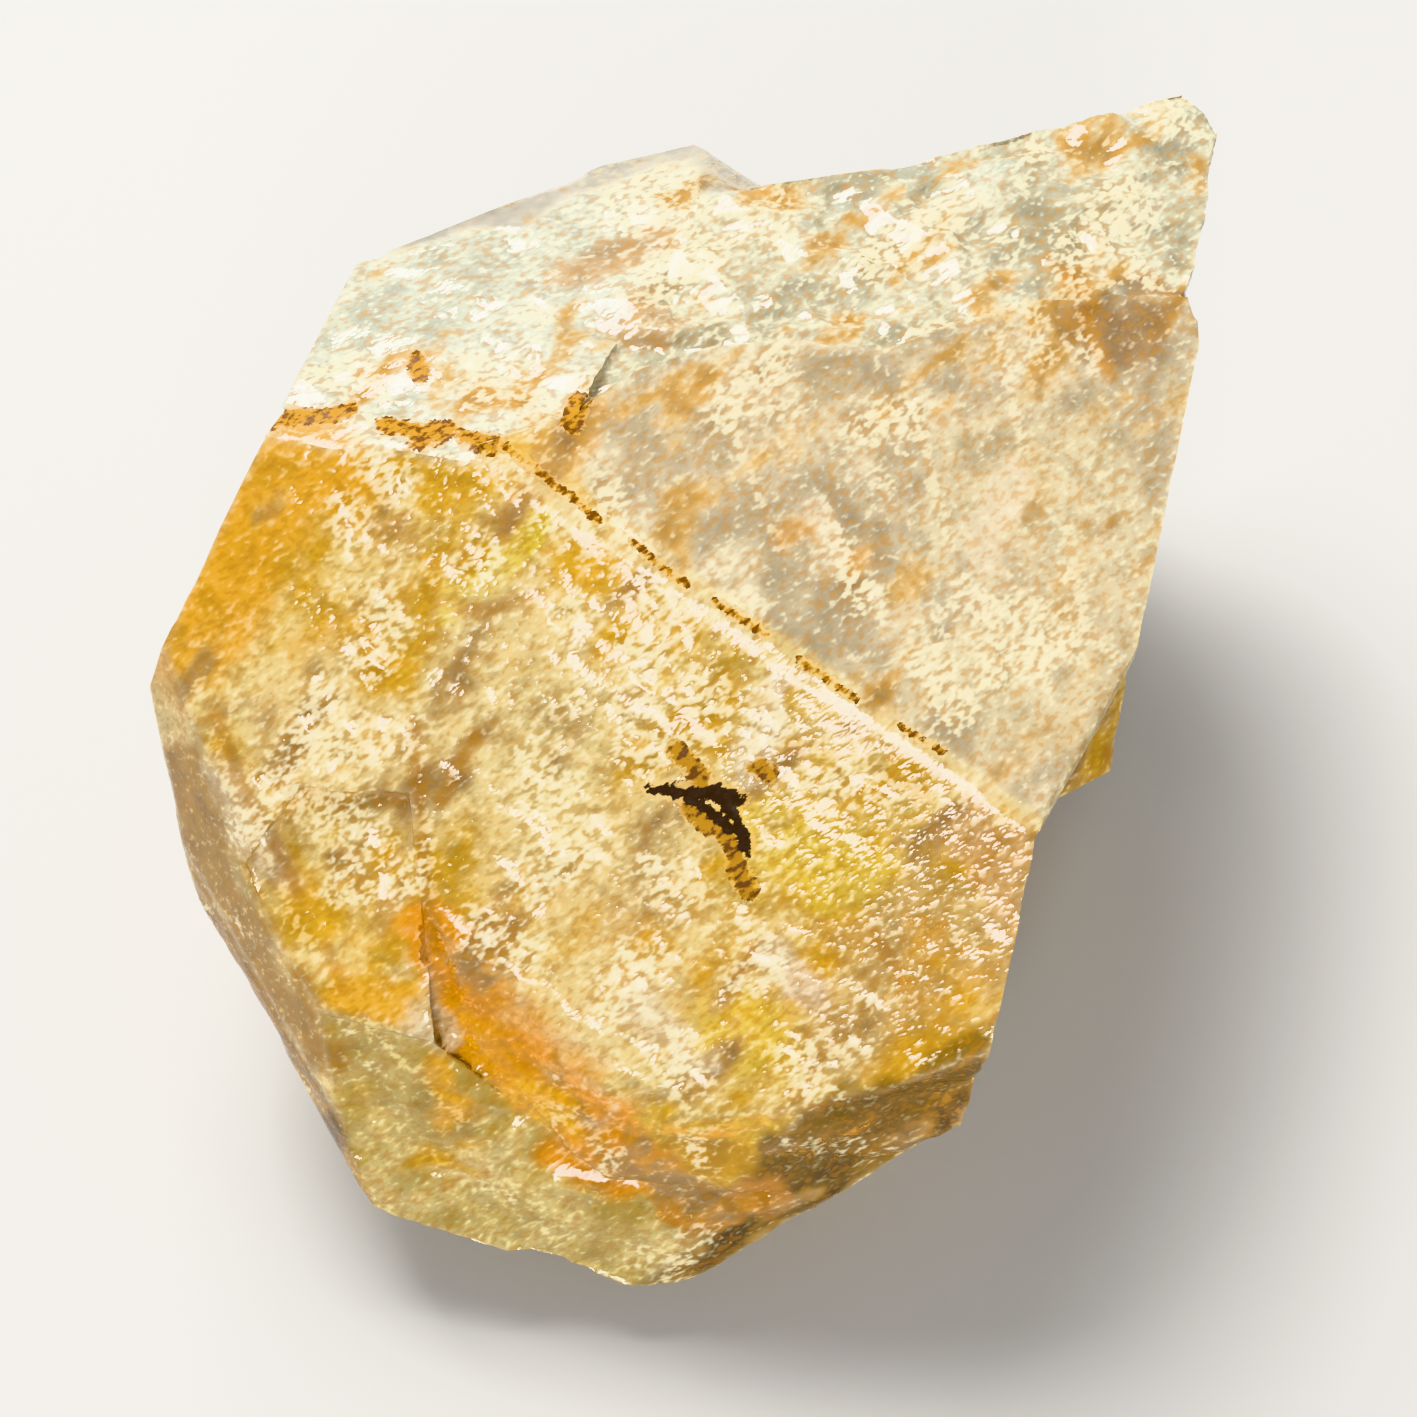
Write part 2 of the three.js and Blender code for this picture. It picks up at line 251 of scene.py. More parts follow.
def even_patch(points, triangles, its_edges, rim_runs, on_rim, step, count):
    """One patch's lattice points and new triangles, joined in the plane of its mean normal; None where the
    patch folds over itself in that plane."""
    normal = face_normals(points, triangles).sum(axis=0)
    normal /= np.linalg.norm(normal)
    side = np.cross([0, 0, 1.0] if abs(normal[2]) < 0.9 else [0, 1.0, 0], normal)
    side /= np.linalg.norm(side)
    flat = np.stack([side, np.cross(normal, side)], axis=1)
    corner = points[triangles] @ flat
    runs = [rim_runs[edge] for edge in np.unique(its_edges[on_rim[its_edges]])]
    rim_edges = np.concatenate([np.stack([run[:-1], run[1:]], axis=1) for run in runs])
    rim = np.unique(rim_edges)
    rim_flat = points[rim] @ flat
    low, high = corner.reshape(-1, 2).min(axis=0), corner.reshape(-1, 2).max(axis=0)
    rows = np.arange(low[1], high[1], step * ROW_SPACING)
    columns = np.arange(low[0], high[0], step)
    lattice = np.stack(np.meshgrid(columns, rows), axis=2)
    lattice[1::2, :, 0] += step / 2
    lattice = lattice.reshape(-1, 2)
    found, height = drop_onto(lattice, corner, points[triangles] @ normal)
    lattice, height = lattice[found], height[found]
    for some in np.array_split(rim_flat, max(len(rim_flat) // SPOTS_AT_ONCE, 1)):
        if len(lattice):
            apart = np.linalg.norm(lattice[:, None] - some[None], axis=2).min(axis=1)
            away = apart > RIM_GAP * step
            lattice, height = lattice[away], height[away]
    flat_points = np.concatenate([rim_flat, lattice])
    local = np.searchsorted(rim, rim_edges)
    result = delaunay_2d_cdt(flat_points.tolist(), local.tolist(), [], 0, 1e-7)
    if len(result[0]) != len(flat_points) or any(len(o) != 1 for o in result[3]):
        return None
    origin = np.array([o[0] for o in result[3]])
    joined = origin[np.array(result[2])]
    joined = joined[inner_ones(flat_points, joined, local, corner)]
    place = np.concatenate([rim, np.arange(count, count + len(lattice))])
    inside = lattice @ flat.T + height[:, None] * normal
    have = sides_of(joined)
    key, times = np.unique(have[:, 0] * len(flat_points) + have[:, 1], return_counts=True)
    border = key[times == 1]
    wanted = np.sort(local, axis=1)
    wanted = np.unique(wanted[:, 0] * len(flat_points) + wanted[:, 1])
    if len(border) != len(wanted) or (border != wanted).any():
        return None
    return inside, place[joined]


def inner_ones(spots, joined, rim_edges, corner):
    """Which triangles lie inside the rim: they are grouped across all edges but the rim's, and a group is
    outside where it reaches the hull or where its largest triangle's middle lies in no old triangle."""
    size = len(spots)
    sides = sides_of(joined)
    key, inverse, times = np.unique(sides[:, 0] * size + sides[:, 1], return_inverse=True, return_counts=True)
    rim = np.sort(rim_edges, axis=1)
    is_rim = np.isin(key, rim[:, 0] * size + rim[:, 1])
    order = np.argsort(inverse, kind="stable") // 3
    first = np.cumsum(times) - times
    shared = (times == 2) & ~is_rim
    beside = np.stack([order[first[shared]], order[first[shared] + 1]], axis=1)
    group = groups(len(joined), beside)
    keep = np.ones(len(joined), bool)
    hull = order[first[(times == 1) & ~is_rim]]
    keep[np.isin(group, group[hull])] = False
    a, b, c = spots[joined[:, 0]], spots[joined[:, 1]], spots[joined[:, 2]]
    area = np.abs((b - a)[:, 0] * (c - a)[:, 1] - (b - a)[:, 1] * (c - a)[:, 0])
    for number in np.unique(group[keep]):
        members = np.where(group == number)[0]
        largest = members[np.argmax(area[members])]
        middle = spots[joined[largest]].mean(axis=0)[None]
        if not drop_onto(middle, corner, corner[:, :, 0])[0][0]:
            keep[members] = False
    return keep


def drop_onto(spots, corner, heights):
    """Which flat spots lie in a triangle, and the height there, from their shares of its three corners."""
    a, b, c = corner[:, 0], corner[:, 1], corner[:, 2]
    span = (b[:, 0] - a[:, 0]) * (c[:, 1] - a[:, 1]) - (b[:, 1] - a[:, 1]) * (c[:, 0] - a[:, 0])
    span = np.where(np.abs(span) < 1e-9, 1e-9, span)
    found, height = [], []
    for some in np.array_split(spots, max(len(spots) * len(corner) // PAIRS_AT_ONCE, 1)):
        du = some[:, None, 0] - a[None, :, 0]
        dv = some[:, None, 1] - a[None, :, 1]
        share_b = (du * (c[:, 1] - a[:, 1]) - dv * (c[:, 0] - a[:, 0])) / span
        share_c = (dv * (b[:, 0] - a[:, 0]) - du * (b[:, 1] - a[:, 1])) / span
        inside = np.minimum(np.minimum(share_b, share_c), 1 - share_b - share_c)
        best = np.argmax(inside, axis=1)
        row = np.arange(len(some))
        found.append(inside[row, best] > -1e-6)
        sb, sc = share_b[row, best], share_c[row, best]
        height.append(heights[best, 0] * (1 - sb - sc) + heights[best, 1] * sb + heights[best, 2] * sc)
    return np.concatenate(found), np.concatenate(height)


CLOUD_TURN = np.array([[0.36, 0.48, -0.8], [-0.8, 0.6, 0.0], [0.48, 0.64, 0.6]])  # off the crystal's own axes
MIXERS = np.array([73856093, 19349663, 83492791])  # large primes that stir a lattice corner's whole numbers


def cloud(points, size, seed):
    """Noise from -1 to 1: a random value at each corner of a lattice of that size, smoothly blended."""
    place = points @ CLOUD_TURN / size + 31.7 * seed
    cell = np.floor(place).astype(np.int64)
    share = place - cell
    share = share ** 3 * (share * (6 * share - 15) + 10)
    total = np.zeros(len(points))
    for corner in np.ndindex(2, 2, 2):
        number = (cell + corner) @ MIXERS + 2654435761 * seed
        number = (number ^ (number >> 13)) * 1274126177 & 0xFFFFFF
        weight = np.where(corner, share, 1 - share).prod(axis=1)
        total += weight * (number / 0x7FFFFF - 1)
    return total


def drawn_out(points, along, times):
    """Points squeezed along a direction, so that noise on them is drawn out along it by that many times."""
    along = np.array(along) / np.linalg.norm(along)
    return points - np.outer(points @ along, along) * (1 - 1 / times)


def ridged(points, size, seed):
    """Sharp ridges where the noise crosses zero, from 0 in the hollows to 1 on the ridges."""
    return (1 - np.abs(cloud(points, size, seed))) ** 2


def softly(value, low, high):
    """From 0 at low to 1 at high, by a smooth curve."""
    share = np.clip((value - low) / (high - low), 0, 1)
    return share * share * (3 - 2 * share)


def spread(values, neighbours, times):
    """Each point takes half of its own value and half of the mean of those beside it, so many times."""
    a, b = neighbours.T
    degree = np.bincount(neighbours.ravel(), minlength=len(values))
    for _ in range(times):
        total = np.stack([np.bincount(a, v[b], len(values)) + np.bincount(b, v[a], len(values))
                          for v in values.reshape(len(values), -1).T], axis=1).reshape(values.shape)
        values = (values + total / (degree if values.ndim == 1 else degree[:, None])) / 2
    return values


def gathered(values, triangles, count):
    """The sum at each point of its triangles' values, column by column."""
    return np.stack([np.bincount(triangles.ravel(), np.repeat(one, 3), count) for one in values.T], axis=1)


def vertex_normals(points, triangles):
    """The sum of the triangles' normals at each point, at length 1."""
    return unit(gathered(face_normals(points, triangles), triangles, len(points)))


def mottled(points, size, seed):
    """Four clouds, each half the size of the last and six tenths as strong, from about -1 to 1."""
    return sum(0.6 ** i * cloud(points, size / 2 ** i, seed + 40 * i) for i in range(4)) / 1.1


def near(points, lines, reach):
    """1 on some lines through spots in u and v, falling evenly to 0 at reach from them: the distance from
    each point to each piece of line, least of all."""
    pieces = [(a, b) for line in lines for a, b in zip(line, line[1:] or line)]
    least = np.full(len(points), np.inf)
    for a, b in np.array(pieces, float):
        share = np.clip((points[:, :2] - a) @ (b - a) / max((b - a) @ (b - a), 1e-9), 0, 1)
        least = np.minimum(least, np.linalg.norm(points[:, :2] - a - share[:, None] * (b - a), axis=1))
    return np.clip(1 - least / reach, 0, 1)


BITES = [((32, 25.4, -6.5), 2.8), ((31, 14, -0.5), 2.6), ((28.7, 7.6, 2.4), 2.8), ((-30, -21.6, -8.5), 2.6),
         ((16.1, 55.1, -41.4), 30), ((-48.7, -7.4, -27), 24)]  # shell-shaped breaks: centre and radius
BITE_OFF = 0.2  # how far a corner may lie off the sphere of its bite, in mm
FRONT_STEP, WALL_STEP, UNDER_STEP = 0.28, 0.48, 0.9  # sides of the triangles, in mm, by where a face looks
FRONT_TILT, WALL_TILT = 70, 115  # a face looks up below the first tilt, and is a wall below the second
MERGE = 1.5e-4  # corners this near each other are one, in metres
CRUMB = 1.5  # the least patch with a face of its own, in mm2
CREASE = radians(5)  # faces that meet at more than this have a crease between them
SHARP = radians(38)  # edges that bend by more than this are shaded sharp

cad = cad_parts["quartz_crystal"]
shape = bmesh.new()
shape.from_mesh(cad.data)
bmesh.ops.remove_doubles(shape, verts=shape.verts, dist=MERGE)
bmesh.ops.dissolve_degenerate(shape, dist=MERGE, edges=shape.edges)
bmesh.ops.triangulate(shape, faces=shape.faces)
merged = bpy.data.meshes.new("merged")
shape.to_mesh(merged)
shape.free()
points = np.empty(len(merged.vertices) * 3, np.float32)
merged.vertices.foreach_get("co", points)
points = in_crystal_frame(points.reshape(-1, 3).astype(float))
triangles = np.empty(len(merged.loops), np.int32)
merged.loops.foreach_get("vertex_index", triangles)
triangles = triangles.reshape(-1, 3)
bpy.data.meshes.remove(merged)

labels = nearest_face(points, triangles)
for centre, radius in BITES:
    off = np.abs(np.linalg.norm(points[triangles] - centre, axis=2) - radius)
    labels[(off < BITE_OFF).all(axis=1)] = len(FACES)
labels = absorb_crumbs(points, triangles, labels, CRUMB)
tilts = np.array([face[2] for face in FACES.values()] + [100])
spacing = np.where(tilts < FRONT_TILT, FRONT_STEP, np.where(tilts < WALL_TILT, WALL_STEP, UNDER_STEP))
points, triangles, labels = even_mesh(points, triangles, labels, spacing)

# Triangles back to back on the same three points cancel out. Where four still share an edge, the two of one
# face are cut across their other diagonal.
_, inverse, times = np.unique(np.sort(triangles, axis=1), axis=0, return_inverse=True, return_counts=True)
single = times[inverse.reshape(-1)] == 1
triangles, labels = triangles[single], labels[single]
of_triangle = edges_of(triangles)[1]
for crowded in np.where(np.bincount(of_triangle.ravel()) > 2)[0]:
    one, *others = np.where((of_triangle == crowded).any(axis=1))[0]
    other = [number for number in others if labels[number] == labels[one]][0]
    (top,), (foot,) = set(triangles[one]) - set(triangles[other]), set(triangles[other]) - set(triangles[one])
    _, left, right = np.roll(triangles[one], -list(triangles[one]).index(top))
    triangles[one], triangles[other] = (left, foot, top), (foot, right, top)
used = np.unique(triangles)
triangles = np.searchsorted(used, triangles)
points = points[used]

edges, of_triangle, beside = edges_of(triangles)
finish = np.array([face[3] for face in FACES.values()] + ["rippled"])[labels]
flat_normal = unit(face_normals(points, triangles))
bend = (flat_normal[beside[:, 0]] * flat_normal[beside[:, 1]]).sum(axis=1)
crease = (labels[beside[:, 0]] != labels[beside[:, 1]]) & (bend < cos(CREASE))
on_crease = np.zeros(len(points))
on_crease[edges[crease]] = 1
broken = np.zeros(len(points), bool)
broken[triangles[finish != "grown"]] = True


def share_of(wanted):
    """How much of each point belongs to the wanted triangles, from 0 to 1, or the mean of their colours."""
    wanted = np.asarray(wanted, float)
    total = gathered(wanted.reshape(len(triangles), -1), triangles, len(points))
    total /= np.maximum(np.bincount(triangles.ravel(), minlength=len(points)), 1)[:, None]
    return total[:, 0] if wanted.ndim == 1 else total


# Broken surfaces are smoothed between their creases, so that no facet of the coarse solid is left in them.
SMOOTHINGS = 8
free = broken & (on_crease == 0)
smooth = points
for _ in range(SMOOTHINGS):
    smooth = np.where(free[:, None], spread(smooth, edges, 1), points)
points = smooth

# Nearness to a crease: it wears the edges down, and paints them paler, partly as painted highlight.
edge_wear_and_highlight = np.minimum(1.6 * spread(on_crease, edges, 2), 1)
inner = 1 - np.minimum(1.8 * spread(on_crease, edges, 4), 1)
normal = vertex_normals(points, triangles)
silky, splintered, rippled = [share_of(finish == name) for name in ("silky", "splintered", "rippled")]
grown = 1 - silky - splintered - rippled

# What the quartz holds close under its surface, seen from above: clusters of tiny fractures, painted pale as
# milky colour and painted glints, stains along cracks, rust, and one dark flake of iron ore; and painted
# highlights along the ridge and inside the left rim. Each is a list of lines through spots in u and v, in mm.
SPARKLES = [[(-20.5, 3.4), (-19, 5.5)], [(-24.3, -2.5), (-18.5, -1.6)], [(-27.5, -6.4), (-22.4, 0.5)],
            [(-25.6, -5), (-19.5, -8)], [(-3.4, 3.4)], [(-0.5, 1.1), (0.2, -0.6), (-1.1, -1.6)],
            [(-4, -2.1), (-4.3, 1)], [(-3.1, 6.3), (-1.4, 4.6)], [(3, -1.3)],
            [(-14.3, -13.3), (-11.3, -14.5)], [(-4.1, -15), (-6.5, -17.5)], [(1.9, -16.2)],
            [(-11.2, -10.2), (-7, -7.8)], [(-17.9, -9.7), (-21.9, -10.3)], [(-7.5, 5.2)], [(-13.3, 8.6)],
            [(-19.9, 15.6), (-18, 13.5)], [(-21.2, 11.3)], [(-1.7, -21.2)], [(-0.5, -26.9)], [(-6.4, -27.7)],
            [(6.5, -4.2), (9.4, -4.8)], [(8.9, 6.3), (7.2, 9.6)], [(12.6, 3), (14.4, 0.2)],
            [(17, 2.4), (20.7, 3.6)], [(1, 18), (4, 20.5)], [(9.6, 16.5), (12, 17.5)], [(22, 27), (26, 31.5)],
            [(10, 27), (15, 30)], [(-4, 25), (-1, 28)]]
STAINS = [  # linear colour, strength, reach in mm, lines
    ((0.74, 0.38, 0.03), 0.9, 4.4,
     [[(-21.7, 13.3), (-24.3, 13.9), (-26.8, 10.4), (-29.1, 6.4), (-30.7, 4.1)]]),
    ((0.72, 0.42, 0.06), 0.7, 2.0, [[(-23.5, 2.9), (-21.3, 4.9)], [(-23.6, 0.5)], [(-27, -9), (-25, -11)]]),
    ((0.66, 0.38, 0.03), 0.8, 2.0, [[(-4.8, 6.9), (-6.6, 8.6)], [(-15.5, 12.5), (-11, 14)]]),
    ((0.72, 0.55, 0.05), 0.9, 1.3, [[(-9.7, 10.9), (-12.1, 8.1), (-13.9, 6.3), (-15.1, 5.2)]]),
    ((0.72, 0.51, 0.06), 0.8, 3.4, [[(8.3, -10.1), (5.4, -8.3), (3, -7.1)], [(1.3, -19.3), (3.4, -20.5)]]),
    ((0.64, 0.40, 0.18), 0.8, 2.2, [[(5.6, -16.4)], [(15, -7), (17.6, -8.6), (17.4, -12)]]),
    ((0.74, 0.30, 0.01), 0.95, 2.6,
     [[(-16.8, -13.3), (-15.3, -15.8), (-12.6, -17.6), (-10.8, -20.1), (-7.2, -23.1), (-5.4, -25.8),
       (-4.2, -27.7), (-6.7, -28.4), (-9.2, -27.3)]]),
    ((0.78, 0.42, 0.04), 0.85, 2.2, [[(-22, -17.1), (-18.7, -17.6)], [(-16.4, -22.7), (-15.9, -24.7)]]),
    ((0.60, 0.26, 0.03), 0.9, 2.0, [[(-1.8, -30.4), (0.7, -31.1), (3.8, -29.6)]]),
    ((0.56, 0.32, 0.10), 0.7, 1.7,
     [[(5.4, 10.4)], [(9.5, 9.3), (8.3, 8.7)], [(22.7, 25.9)], [(-7.6, 15.5), (-7, 17.6)]]),
    ((0.60, 0.53, 0.34), 0.8, 7.0, [[(17, 12), (21, 14), (22.5, 8)], [(17, 2), (21, 3)]]),
    ((0.84, 0.70, 0.36), 0.6, 7.5, [[(-12, 3), (-8, -2)], [(-13, -4), (-4, -8)], [(-22, -2)], [(-6, -18)]]),
    ((0.46, 0.32, 0.14), 0.6, 4.0,
     [[(9, -14), (13, -12), (15.5, -14.5)], [(-3.5, -11.5)], [(8, -20), (12, -17)]]),
    ((0.33, 0.16, 0.0), 0.8, 2.6, [[(-31.6, -3.5), (-31, -6), (-29.4, -11.6), (-26.6, -16.8), (-23.6, -21)]]),
    ((0.18, 0.10, 0.0), 0.9, 2.8, [[(5, -27.5), (10, -24.4), (15.4, -20.8)]]),
    ((0.24, 0.14, 0.06), 0.8, 2.8, [[(23.5, 23), (25.7, 21.8), (27, 25)]]),
    ((0.38, 0.23, 0.10), 0.7, 1.7, [[(-5.3, 22.6), (-2.9, 22.6), (-3.5, 24.5)], [(-8.6, 26.5), (-3, 28.6)]]),
]
PALE = [[(5.4, -16.5), (3.7, -15)], [(-17.5, -18.9), (-16.5, -20.3)], [(3.6, 1.3), (2.6, -3.6)],
        [(-5.1, -17.6), (-0.9, -21)], [(6.3, 12), (7, 9)], [(16, 9), (18, 14)], [(-29, -4), (-26.4, -10)]]
RUST = [[(-25.6, 16.8), (-22.4, 16.8), (-20.8, 17.4)], [(-18.4, 16.5), (-16.6, 15.7), (-15, 16.4)],
        [(-14.2, 15.7), (-12.4, 15.1)], [(-7.9, 16.6), (-7.4, 18)], [(-17.5, 20.4), (-17.2, 19.8)],
        [(-2.1, -2.2), (-1.5, -3.0), (-0.6, -4.4)], [(-1.2, -5.8), (0.4, -7.2), (1.5, -8.6), (2.4, -10.6)],
        [(3.0, -3.3), (3.7, -3.9)], [(20, -7.4), (20.4, -8.8)]]
# Along the ridge crest a pale band is painted in: a painted highlight.
RIDGE = [[(-13.2, 15.6), (8.2, -0.1), (19, -6.5)]]
BESIDE_RIDGE = [[(-12.6, 15.8), (-6.4, 10.9)], [(-4.4, 9.5), (-1.2, 7.3)], [(0.4, 6.3), (3.4, 4.2)],
                [(5.2, 2.9), (8.6, 0.5)], [(11.2, -1.0), (13.6, -2.4)]]
IRON = [[(-3.4, -4.7), (-1.8, -4.8), (0.5, -5.3), (1.6, -6.4), (2.2, -8.4)], [(0.4, -5.0), (1.9, -5.4)],
        [(-1.0, -5.3), (1.3, -7.2)]]
DARK_CRACKS = [[(-17.5, -0.9), (-17.2, -5.5), (-17, -10.3), (-16.3, -14.7)],
               [(-26.8, -4.1), (-22.8, -5.6), (-17.5, -5.4)], [(-13.7, -1.6), (-15.9, -5.4)],
               [(-29.2, -0.7), (-27.7, -4.8), (-26.1, -8.3), (-23.9, -13), (-21.9, -17)],
               [(-16.2, 6.6), (-13.4, 5.6), (-9.8, 6.6)], [(17, -7.6), (15.4, -10.4)],
               [(9.8, -13.4), (12.6, -17.6)], [(-9.5, -21.3), (-7.2, -25.6)], [(23, 24.2), (24.4, 20.2)],
               [(20.9, 27.6), (23.6, 24.6)]]
# Bright lines: cracks and scratches, and the first, just inside the left rim, a painted highlight.
BRIGHT_CRACKS_AND_RIM_HIGHLIGHT = [[(-29.8, -1.6), (-28.4, -5), (-26.9, -8.8), (-24.6, -13.4), (-22.6, -17.2)],
                 [(3.5, 1.2), (2.5, -3.5)], [(-5, -17.2), (-0.9, -20.6)], [(-7.2, 15), (-6, 12), (-4.2, 9.2)],
                 [(22.5, 24), (23.5, 20.4)], [(19.4, 4), (20, 1.1)], [(21.4, 11), (22.3, 5.2), (24, 3)],
                 [(12.4, 17.6), (14.2, 9.8)], [(17.4, 22), (19, 15.4)], [(6.8, 12.4), (8.4, 7.4)],
                 [(1.6, 16), (4.2, 9.4)], [(24.4, 26), (19.2, 24.4), (12, 22.6)],
                 [(-16.9, -6.2), (-16.4, -11.6)], [(4.4, -1.8), (9, -3.2), (13.4, -5.4)],
                 [(-10.4, -24), (-5.6, -27.6)], [(-21.4, -18.6), (-15.2, -25.4)]]

# Where each of these shows, for each point: only on faces that look up out of the crystal, and a little off
# its lines, so that no edge of it is drawn with a ruler.
upward = softly(normal[:, 2], 0.15, 0.4)
strayed = points + 0.7 * np.stack([mottled(points, 2.4, 61), mottled(points, 2.4, 62), 0 * grown], axis=1)
patchy = mottled(points, 5, 63)
# Glitter: tiny fractures painted pale, partly their own milky colour, partly painted glints.
glitter = np.maximum(upward * softly(near(strayed, SPARKLES, 2.6), 0.1, 0.75),
                     0.8 * softly(patchy + 0.4 * mottled(points, 1.6, 64), 0.35, 0.9))
rust = upward * np.maximum(near(0.5 * points + 0.5 * strayed, RUST, 0.8),
                           0.55 * near(0.75 * points + 0.25 * strayed, BESIDE_RIDGE, 0.4))
iron = upward * near(0.6 * points + 0.4 * strayed, IRON, 0.75)

# Low relief, in mm: growth terraces and small pits on grown faces, fibres on silky ones, ridges and dips on
# splintered and rippled ones, crumbs where the bright fractures reach the surface, and worn edges. It fades
# out just above the ground, so that the base facet stays flat.
terraces = cloud(points, 11, 3) * 3.2 + 0.25 * cloud(points, 2.5, 4)
steps = np.floor(terraces) + softly(terraces - np.floor(terraces), 0.72, 0.98)
crumbled = 0.04 * cloud(points, 0.9, 16) + 0.03 * cloud(points, 0.5, 17)
height = grown * inner * (0.05 * cloud(points, 7, 1) + 0.05 * steps
                          - (0.02 + 0.16 * glitter) * softly(cloud(points, 1.5, 5), 0.3, 0.7))
fibres = drawn_out(points, (0.92, 0.36, 0.1), 5)
height += silky * (0.12 * ridged(fibres, 1.5, 6) + 0.06 * cloud(fibres, 3.5, 7))
height += splintered * (0.3 * ridged(fibres, 1.9, 9) + 0.16 * ridged(points, 2.6, 10)
                        + 0.1 * ridged(fibres, 0.9, 11) - 0.3)
height += rippled * (0.16 * ridged(points, 3.1, 12) - 0.14
                     + 0.1 * ridged(drawn_out(points, (1, -0.4, 0.2), 3), 1.3, 13))
height += inner * crumbled * (0.3 + 1.2 * glitter)
height -= edge_wear_and_highlight * (0.04 + 0.1 * softly(cloud(points, 1.6, 14), 0, 0.8)
                       + 0.2 * softly(cloud(points, 4.4, 15), 0.35, 0.8))
foot = softly(in_world(points)[:, 2], 0.0, 0.0008)

# Colour: each face's own two tints in streaks, then the stains, the pale spots, a pale band along the ridge
# (painted highlight), the cracks and the worn edges, paler partly as painted highlight, laid over them, and a
# fine change of brightness. The walls go by height instead.
tint_names = [face[4] for face in FACES.values()] + ["wall"]
low, high, milky_and_glints = [spread(share_of(np.array([TINTS[name][i] for name in tint_names])[labels]), edges, 3)
                    for i in (0, 1, 2)]
walls = spread(share_of((np.array(tint_names) == "wall")[labels]), edges, 3)[:, None]
climb = softly(points[:, 1] + 6 * patchy, -4, 26)[:, None]
for ends, foot_tint, top_tint in ((low, TINTS["amber"][0], TINTS["sand"][0]),
                                  (high, TINTS["honey"][1], TINTS["white"][1])):
    ends += walls * (np.array(foot_tint) * (1 - climb) + np.array(top_tint) * climb)
streaks = mottled(drawn_out(points, (0.64, 0.77, 0), 4), 2.6, 65)
colour = low + (high - low) * softly(0.5 * patchy + 0.7 * streaks, -0.7, 0.6)[:, None]
for stain, strength, reach, lines in STAINS:
    share = strength * upward * softly(near(strayed, lines, reach) + 0.25 * streaks, 0.05, 0.6)
    milky_and_glints -= share * milky_and_glints * max(0.8 - 1.5 * stain[0], 0)
    colour += share[:, None] * (np.array(stain) - colour)
for over, share in (((0.80, 0.70, 0.50), 0.6 * upward * softly(near(strayed, PALE, 1.8), 0.1, 0.7)),
                    # A pale band along the ridge crest: painted highlight.
                    ((0.76, 0.62, 0.30), 0.5 * upward * softly(near(points, RIDGE, 1.0), 0.2, 0.6)
                     * softly(streaks, -0.9, -0.2)),
                    ((0.42, 0.20, 0.03), 0.6 * upward * softly(near(points, DARK_CRACKS, 0.75), 0.1, 0.7)
                     * softly(streaks, -0.9, -0.1)),
                    # Paler on worn edges: partly wear, partly painted highlight.
                    ((0.82, 0.74, 0.48), 0.35 * edge_wear_and_highlight * softly(cloud(points, 2.2, 66), -0.5, 0.4))):
    colour += share[:, None] * (np.array(over) - colour)
colour *= (1 + 0.2 * mottled(points, 1.3, 67))[:, None]

# How thick the tiny fractures lie, painted glints and highlights counted with them: by face, in patches, and
# most where it glitters, at cracks and at edges.
milky_and_glints = milky_and_glints * softly(patchy + 0.6 * cloud(points, 2.2, 68), -0.9, 0.6) + 0.75 * glitter
# Paler along the bright cracks; the line inside the left rim is a painted highlight.
milky_and_glints += 1.1 * upward * near(points, BRIGHT_CRACKS_AND_RIM_HIGHLIGHT, 0.55)
# More milky on worn edges: partly wear, partly painted highlight.
milky_and_glints += 0.35 * edge_wear_and_highlight * softly(cloud(points, 3, 71), -0.3, 0.4)

points = points + normal * (height * foot)[:, None]
mesh = bpy.data.meshes.new("quartz")
mesh.vertices.add(len(points))
mesh.vertices.foreach_set("co", in_world(points).astype(np.float32).ravel())
mesh.loops.add(triangles.size)
mesh.loops.foreach_set("vertex_index", triangles.astype(np.int32).ravel())
mesh.polygons.add(len(triangles))
mesh.polygons.foreach_set("loop_start", np.arange(0, triangles.size, 3, dtype=np.int32))
mesh.update(calc_edges=True)
mesh.validate()
mesh.shade_smooth()
mesh.set_sharp_from_angle(angle=SHARP)


def note(name, values):
    """Keeps one number or colour for each point of the mesh, for its material to read."""
    if values.ndim == 1:
        mesh.attributes.new(name, "FLOAT", "POINT").data.foreach_set("value", values.astype(np.float32))
    else:
        whole = np.clip(np.concatenate([values, np.ones((len(values), 1))], axis=1), 0, 1)
        made = mesh.attributes.new(name, "FLOAT_COLOR", "POINT")
        made.data.foreach_set("color", whole.astype(np.float32).ravel())


note("tint", colour)
note("glitter", np.minimum(glitter + 0.35 * (silky + splintered), 1))
note("cloudy_and_glinting", np.clip(milky_and_glints, 0, 1))
note("iron", iron)
note("rust", rust)
note("clearness", spread(share_of((np.array(tint_names) == "clear")[labels]), edges, 2))


def node(kind, *inputs, **settings):
    """A node with its settings and inputs, each a socket, a number or a colour; None leaves one alone."""
    tree = material.node_tree
    made = tree.nodes.new("ShaderNode" + kind)
    for key, value in settings.items():
        setattr(made, key, value)
    for socket, value in zip(made.inputs, inputs):
        if isinstance(value, bpy.types.NodeSocket):
            tree.links.new(value, socket)
        elif value is not None:
            socket.default_value = value
    return made


def attribute(name, output="Fac"):
    """What the mesh keeps under that name, read at each point of the surface."""
    return node("Attribute", attribute_name=name).outputs[output]


